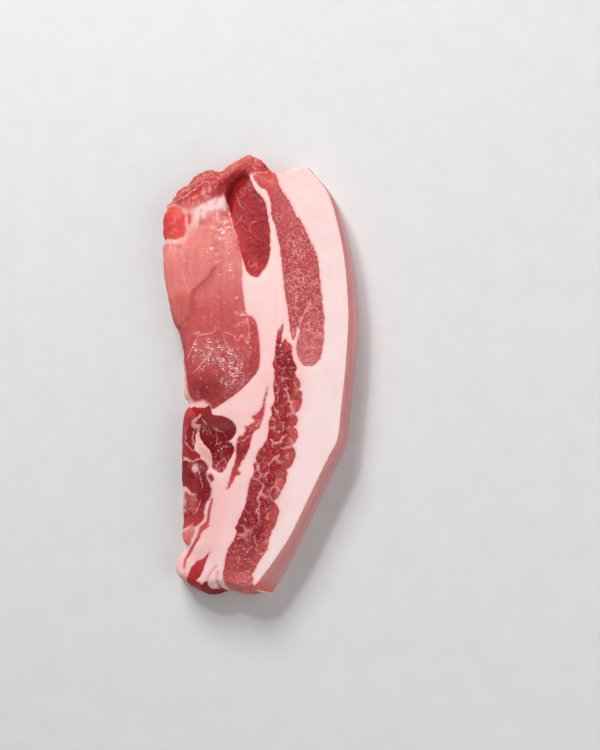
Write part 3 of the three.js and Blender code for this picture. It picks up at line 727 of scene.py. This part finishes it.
from_rind, _ = line_distance(RIND_EDGE)
side_on = rise(outward[:, 0], 0.35, 0.75) * (from_rind < 8)
rind = np.maximum(between(RIND_CUT) - from_rind, 2.5 * (side_on - 0.55))
grooves = ripple((60.0, 60.0, 0.9), 2.0) + 0.6 * ripple((25.0, 25.0, 0.5), 31.0)
rind_tint = paint_along(RIND_TINTS)
shade(rind_tint, 0.18 * grooves + 0.10 * ripple(6.0, 95.0))
stain(rind_tint, 0.5 * rise(height, 13, 19) * rise(-along, -30, 20), (222, 148, 134))
stain(rind_tint, 0.5 * rise(-height, -12, -5), (214, 164, 168))
stain(rind_tint, 0.6 * rise(-height, -14, -7) * rise(along, -10, 20), (248, 176, 178))
# Painted highlight: a pale band is painted along the top edge of the rind towards the loin end.
stain(rind_tint, 0.7 * rise(height, 15, 19) * rise(along, 70, 84), (246, 186, 182))
stain(rind_tint, 0.5 * rise(-height, -3, 0), (238, 200, 198))
stain(rind_tint, 1 - side_on, (206, 140, 126))
stain(rind_tint, 0.9 * near(5, RIND_CORNER), (216, 92, 76))


# The surface is worked over once more at the scale of the grain: lean sinks a little below the fat, membranes
# stand up, torn ends fray, and the flat lower face stays flat.
FILM_WHITE = 0.009  # what the shine of the wet film adds, which the tints below it leave out
LEAN_SINKS = 0.15
EDGE_SINKS = 0.12
MEMBRANE_STANDS = 0.12
LEAN_WAVES = 0.06
LEAN_GRAIN = 0.03
FAT_WAVES = 0.14
FAT_GRAIN = 0.02
FAT_DIMPLES = 0.1
TORN_ROUGH = 0.55
TORN_GRAIN = 0.25
DRIEST = -2.5

in_lean = rise(lean, -0.6, 0.8)
relief -= LEAN_SINKS * in_lean + EDGE_SINKS * bell(lean, 0.5)
relief += MEMBRANE_STANDS * rise(veins, 0.2, 0.8) * in_lean
relief += in_lean * (LEAN_WAVES * ripple(2.2, 12.0) + LEAN_GRAIN * ripple(1.2, 17.0))
relief += (1 - in_lean) * (FAT_WAVES * ripple(9.0, 19.0) + FAT_GRAIN * ripple(2.6, 29.0))
relief -= (1 - in_lean) * rise(from_back, 0, 4) * FAT_DIMPLES * rise(ripple(3.2, 167.0), 0.35, 0.7)
drained = rise(-outward[:, 2], -0.985, -0.93)  # moisture runs off what slopes
wet *= 1 - drained
wet -= 2 * drained
wet = wet.clip(DRIEST, 1)
beaded = in_lean * rise(wet, 0.2, 1.0) * (1 - np.maximum(in_eye * crown, belly))
ridged = in_lean * np.maximum(belly, 1.3 * np.maximum(sparkling, rib_glints))
torn = np.maximum(rise(torn_end, -1, 4) * rise(-bone, 0, 2), 0.6 * rise(-along, 99, 106))
relief += torn * (TORN_ROUGH * ripple((2.2, 4.0, 3.0), 37.0) + TORN_GRAIN * ripple(1.3, 43.0))
relief = relief * (1 - side_on) + side_on * GROOVE_DEEP * grooves
lying = rise(height, 0.0, 2.0) * rise(outward[:, 2], -0.95, -0.5)
points += outward * (relief * lying)[:, None]
points[:, 2] = np.maximum(points[:, 2], 0.0)
lay(points * MM)
fine.polygons.foreach_set("use_smooth", np.ones(len(fine.polygons), bool))

# Painted glow: the fat is painted pinker along the lean's edges, for light that seeps into it from the red
# lean.
stain(fat_tint, 0.3 * bell(lean, 1.0), (240, 165, 160))
shade(lean_tint, (1 - 0.6 * in_eye) * (0.14 * ripple(5.0, 3.0) + 0.18 * ripple(1.8, 9.0)))
lean_tint -= FILM_WHITE


def keep(name, values):
    """Keeps a value or a colour of each point of the skin, for the flesh to read."""
    if values.ndim == 1:
        layer = fine.attributes.new(name, "FLOAT", "POINT")
        layer.data.foreach_set("value", values.astype(np.float32))
    else:
        layer = fine.attributes.new(name, "FLOAT_COLOR", "POINT")
        full = np.hstack([values.clip(0, 1), np.ones((len(values), 1))])
        layer.data.foreach_set("color", full.astype(np.float32).ravel())


kept_values = dict(lean=lean, veins=veins, parted=parted, marbled=marbled, wet=wet, beaded=beaded,
                   ridged=ridged, soft=soft, rind=rind, lean_tint=lean_tint, fat_tint=fat_tint,
                   rind_tint=rind_tint)
for name, values in kept_values.items():
    keep(name, values)


# Raw flesh is moist: the lean is wet and glints, the fat is waxy, and light sinks a little way into both.
# The tints come from the tissues above. Marbling, fibres and a fine grain are added here.
MARBLE = (*paint_of(236, 160, 156), 1)
MEMBRANE = (*paint_of(240, 172, 168), 1)
FIBRE_SHADE = (*paint_of(140, 30, 38), 1)
LIGHT_SINKS = (1.4 * MM, 0.45 * MM, 0.35 * MM)
RIDGE_STEP = 1.8  # from one ridge of the wettest lean to the next, in mm
RIDGE_FRONT = 0.3  # the part of a ridge that rises, before the longer part that falls
MARBLE_WIDE = 0.055
FAT_ROUGH = 0.42
LEAN_SMOOTHER = 0.08
WET_SMOOTHER = 0.2
FILM_DEEP = 0.3 * MM


class Value:
    """A value in a material, which plain arithmetic turns into nodes."""

    def __init__(self, paint, socket):
        self.paint = paint
        self.socket = socket

    def maths(self, operation, *values):
        return self.paint.node("ShaderNodeMath", dict(operation=operation), dict(enumerate(values)))

    def __add__(self, other):
        return self.maths("ADD", self, other)

    def __sub__(self, other):
        return self.maths("SUBTRACT", self, other)

    def __rsub__(self, other):
        return self.maths("SUBTRACT", other, self)

    def __mul__(self, other):
        return self.maths("MULTIPLY", self, other)

    def __truediv__(self, other):
        return self.maths("DIVIDE", self, other)

    def __abs__(self):
        return self.maths("ABSOLUTE", self)

    __radd__ = __add__
    __rmul__ = __mul__


class Paint:
    """A material made of nodes, with the coordinates of the piece in millimetres."""

    def __init__(self, name):
        self.material = bpy.data.materials.new(name)
        self.material.use_nodes = True
        self.tree = self.material.node_tree
        self.surface = self.tree.nodes["Principled BSDF"]
        place = self.node("ShaderNodeTexCoord", output="Object")
        self.place = self.node("ShaderNodeVectorMath", dict(operation="SCALE"), {0: place, "Scale": 1 / MM})

    def node(self, kind, settings=None, inputs=None, output=0):
        made = self.tree.nodes.new(kind)
        for name, setting in (settings or {}).items():
            setattr(made, name, setting)
        for name, value in (inputs or {}).items():
            self.join(made.inputs[name], value)
        return Value(self, made.outputs[output])

    def join(self, socket, value):
        if isinstance(value, Value):
            self.tree.links.new(value.socket, socket)
        else:
            socket.default_value = value

    def kept(self, name, output="Fac"):
        return self.node("ShaderNodeAttribute", dict(attribute_name=name), output=output)

    def stretched(self, stretch):
        scale = [1 / length for length in stretch]
        return self.node("ShaderNodeMapping", inputs={"Vector": self.place, "Scale": scale})

    def bumps(self, size, detail=2.0, rough=0.5, warp=0.0, stretch=(1, 1, 1)):
        return self.node("ShaderNodeTexNoise", inputs={
            "Vector": self.stretched(stretch), "Scale": 1 / size, "Detail": detail, "Roughness": rough,
            "Distortion": warp,
        })

    def beads(self, size, stretch=(1, 1, 1)):
        return self.node("ShaderNodeTexVoronoi", dict(feature="SMOOTH_F1"), {
            "Vector": self.stretched(stretch), "Scale": 1 / size, "Smoothness": 0.5,
        }, output="Distance")

    def step(self, value, low, high):
        return self.node("ShaderNodeMapRange", dict(interpolation_type="SMOOTHSTEP"), {
            "Value": value, "From Min": low, "From Max": high,
        })

    def blend(self, share, under, over):
        return self.node("ShaderNodeMix", dict(data_type="RGBA"), {0: share, 6: under, 7: over}, output=2)

    def shine(self, sockets):
        for name, value in sockets.items():
            self.join(self.surface.inputs[name], value)


flesh = Paint("raw_flesh")
grain = flesh.bumps(0.9, detail=3.0, rough=0.6)
fibres = flesh.bumps(1.2, detail=2.0, stretch=(0.9, 2.5, 2.5))
worms = abs(flesh.bumps(1.7, detail=1.5, warp=0.6, stretch=(1.0, 1.5, 1.0)) - 0.5)
patches = flesh.step(flesh.bumps(6.0, detail=1.0), 0.3, 0.7)
specks = flesh.bumps(0.9, detail=1.0)

is_lean = flesh.step((flesh.kept("lean") + (grain - 0.5) * 0.6) / flesh.kept("soft"), -1.0, 1.0)
is_vein = flesh.step(flesh.kept("veins") + (grain - 0.5) * 0.6, 0.3, 0.85)
is_gap = flesh.step(flesh.kept("parted") + (grain - 0.5) * 0.3, 0.1, 0.6)
is_marbled = flesh.kept("marbled")
worm_width = is_marbled * (0.5 + patches * 0.8) * MARBLE_WIDE
is_worm = flesh.step(worm_width - worms, -0.012, 0.05)
is_speck = flesh.step(specks + is_marbled * 0.08, 0.66, 0.74)

lean_colour = flesh.blend(flesh.step(fibres, 0.5, 0.75) * 0.14, flesh.kept("lean_tint", "Color"), FIBRE_SHADE)
lean_colour = flesh.blend(is_worm * 0.62, lean_colour, MARBLE)
lean_colour = flesh.blend(is_speck * is_marbled * 0.6, lean_colour, MARBLE)
lean_colour = flesh.blend(is_gap * 0.5, lean_colour, MARBLE)
lean_colour = flesh.blend(is_vein * 0.6, lean_colour, MEMBRANE)
colour = flesh.blend(is_lean, flesh.kept("fat_tint", "Color"), lean_colour)
is_rind = flesh.step(flesh.kept("rind") + (flesh.bumps(1.6) - 0.5) * 0.7, -0.25, 0.25)
colour = flesh.blend(is_rind, colour, flesh.kept("rind_tint", "Color"))

wetness = flesh.kept("wet") * is_lean * (1 - is_rind)
is_wet = flesh.step(wetness, 0.2, 1.0)
drops = flesh.bumps(1.2, detail=1.5, warp=0.4) * 1.1 - flesh.beads(1.1, stretch=(1.0, 1.4, 1.0)) * 0.6
ridge_count = flesh.node("ShaderNodeSeparateXYZ", inputs={0: flesh.place}, output="Y") / RIDGE_STEP
ridge_count = ridge_count + flesh.bumps(4.5, detail=1.0) * 4.0 + flesh.bumps(1.8, detail=1.0) * 1.0
part_way = ridge_count.maths("FRACT", ridge_count)
rising, falling = part_way / RIDGE_FRONT, (1 - part_way) / (1 - RIDGE_FRONT)
ridges = part_way.maths("MINIMUM", rising, falling) * flesh.kept("ridged")
film = grain * (0.08 + is_lean * (0.14 - is_wet * 0.16)) + drops * flesh.kept("beaded") + ridges * 0.75
film_bump = flesh.node("ShaderNodeBump", inputs={
    "Strength": 1.0, "Distance": FILM_DEEP, "Height": film,
}, output="Normal")
flesh.shine({
    "Base Color": colour,
    "Roughness": FAT_ROUGH - is_lean * LEAN_SMOOTHER - wetness * WET_SMOOTHER,
    "Normal": film_bump,
    "Specular IOR Level": 0.32,
    "Subsurface Weight": 0.2,
    "Subsurface Scale": 1.0,
    "Subsurface Radius": LIGHT_SINKS,
})
pork.data.materials.clear()
pork.data.materials.append(flesh.material)
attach(pork, "root")
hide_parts("pork_ribeye")


# The floor is a plain pale board with a faint mottle, wide enough to fill the view.
# It is level with the underside of the slice.
FLOOR_WIDE = 3.0
BOARD_DARK = (0.68, 0.68, 0.68, 1)
BOARD_PALE = (0.76, 0.76, 0.76, 1)

floor_form = bmesh.new()
bmesh.ops.create_grid(floor_form, x_segments=1, y_segments=1, size=FLOOR_WIDE / 2)
floor_mesh = bpy.data.meshes.new("floor")
floor_form.to_mesh(floor_mesh)
floor_form.free()
floor = bpy.data.objects.new("floor", floor_mesh)
bpy.context.scene.collection.objects.link(floor)
board = Paint("pale_board")
mottle = board.bumps(14.0, detail=5.0, rough=0.6)
board.shine({
    "Base Color": board.blend(mottle, BOARD_DARK, BOARD_PALE),
    "Roughness": 0.7,
})
floor_mesh.materials.append(board.material)


# The light is a broad soft lamp beyond the loin end, a wide weak one facing the rind, a small bright one that
# the wet flesh mirrors, and a dim pale room. The camera looks down on the slice from its rind side, with the
# loin end at the top of the picture.
LAMPS = {
    "key": dict(place=(-0.25, 0.95, 0.85), wide=0.6, power=11.0),
    "fill": dict(place=(0.95, -0.45, 0.75), wide=1.1, power=5.6),
    "spark": dict(place=(-0.37, 0.78, 1.23), wide=0.17, power=4.6),
}
ROOM_LIGHT = 0.27

for name, sizes in LAMPS.items():
    lamp = bpy.data.lights.new(name, "AREA")
    lamp.shape = "DISK"
    lamp.size = sizes["wide"]
    lamp.energy = sizes["power"]
    holder = bpy.data.objects.new(name, lamp)
    holder.location = sizes["place"]
    holder.rotation_euler = (-holder.location).to_track_quat("-Z", "Y").to_euler()
    bpy.context.scene.collection.objects.link(holder)

room = bpy.data.worlds.new("room")
room.use_nodes = True
room.node_tree.nodes["Background"].inputs["Color"].default_value = (1.0, 1.0, 1.0, 1)
room.node_tree.nodes["Background"].inputs["Strength"].default_value = ROOM_LIGHT
bpy.context.scene.world = room
bpy.context.scene.view_settings.view_transform = "Standard"

AIM = Vector((23.49, -6.46, 18.0)) * MM
TILT = math.radians(17)
SWING = math.radians(40)
DISTANCE = 0.98
FOCAL_LENGTH = 100  # in mm, as is the sensor's width
SENSOR_WIDE = 36

back_way = Vector((math.sin(TILT) * math.cos(SWING), -math.sin(TILT) * math.sin(SWING), math.cos(TILT)))
right_way = Vector((0, 1, 0)).cross(back_way).normalized()
up_way = back_way.cross(right_way)
turn = Matrix((right_way, up_way, back_way)).transposed().to_4x4()
lens = bpy.data.cameras.new("camera")
lens.lens = FOCAL_LENGTH
lens.sensor_width = SENSOR_WIDE
camera = bpy.data.objects.new("camera", lens)
camera.matrix_world = Matrix.Translation(AIM + DISTANCE * back_way) @ turn
bpy.context.scene.collection.objects.link(camera)
bpy.context.scene.camera = camera
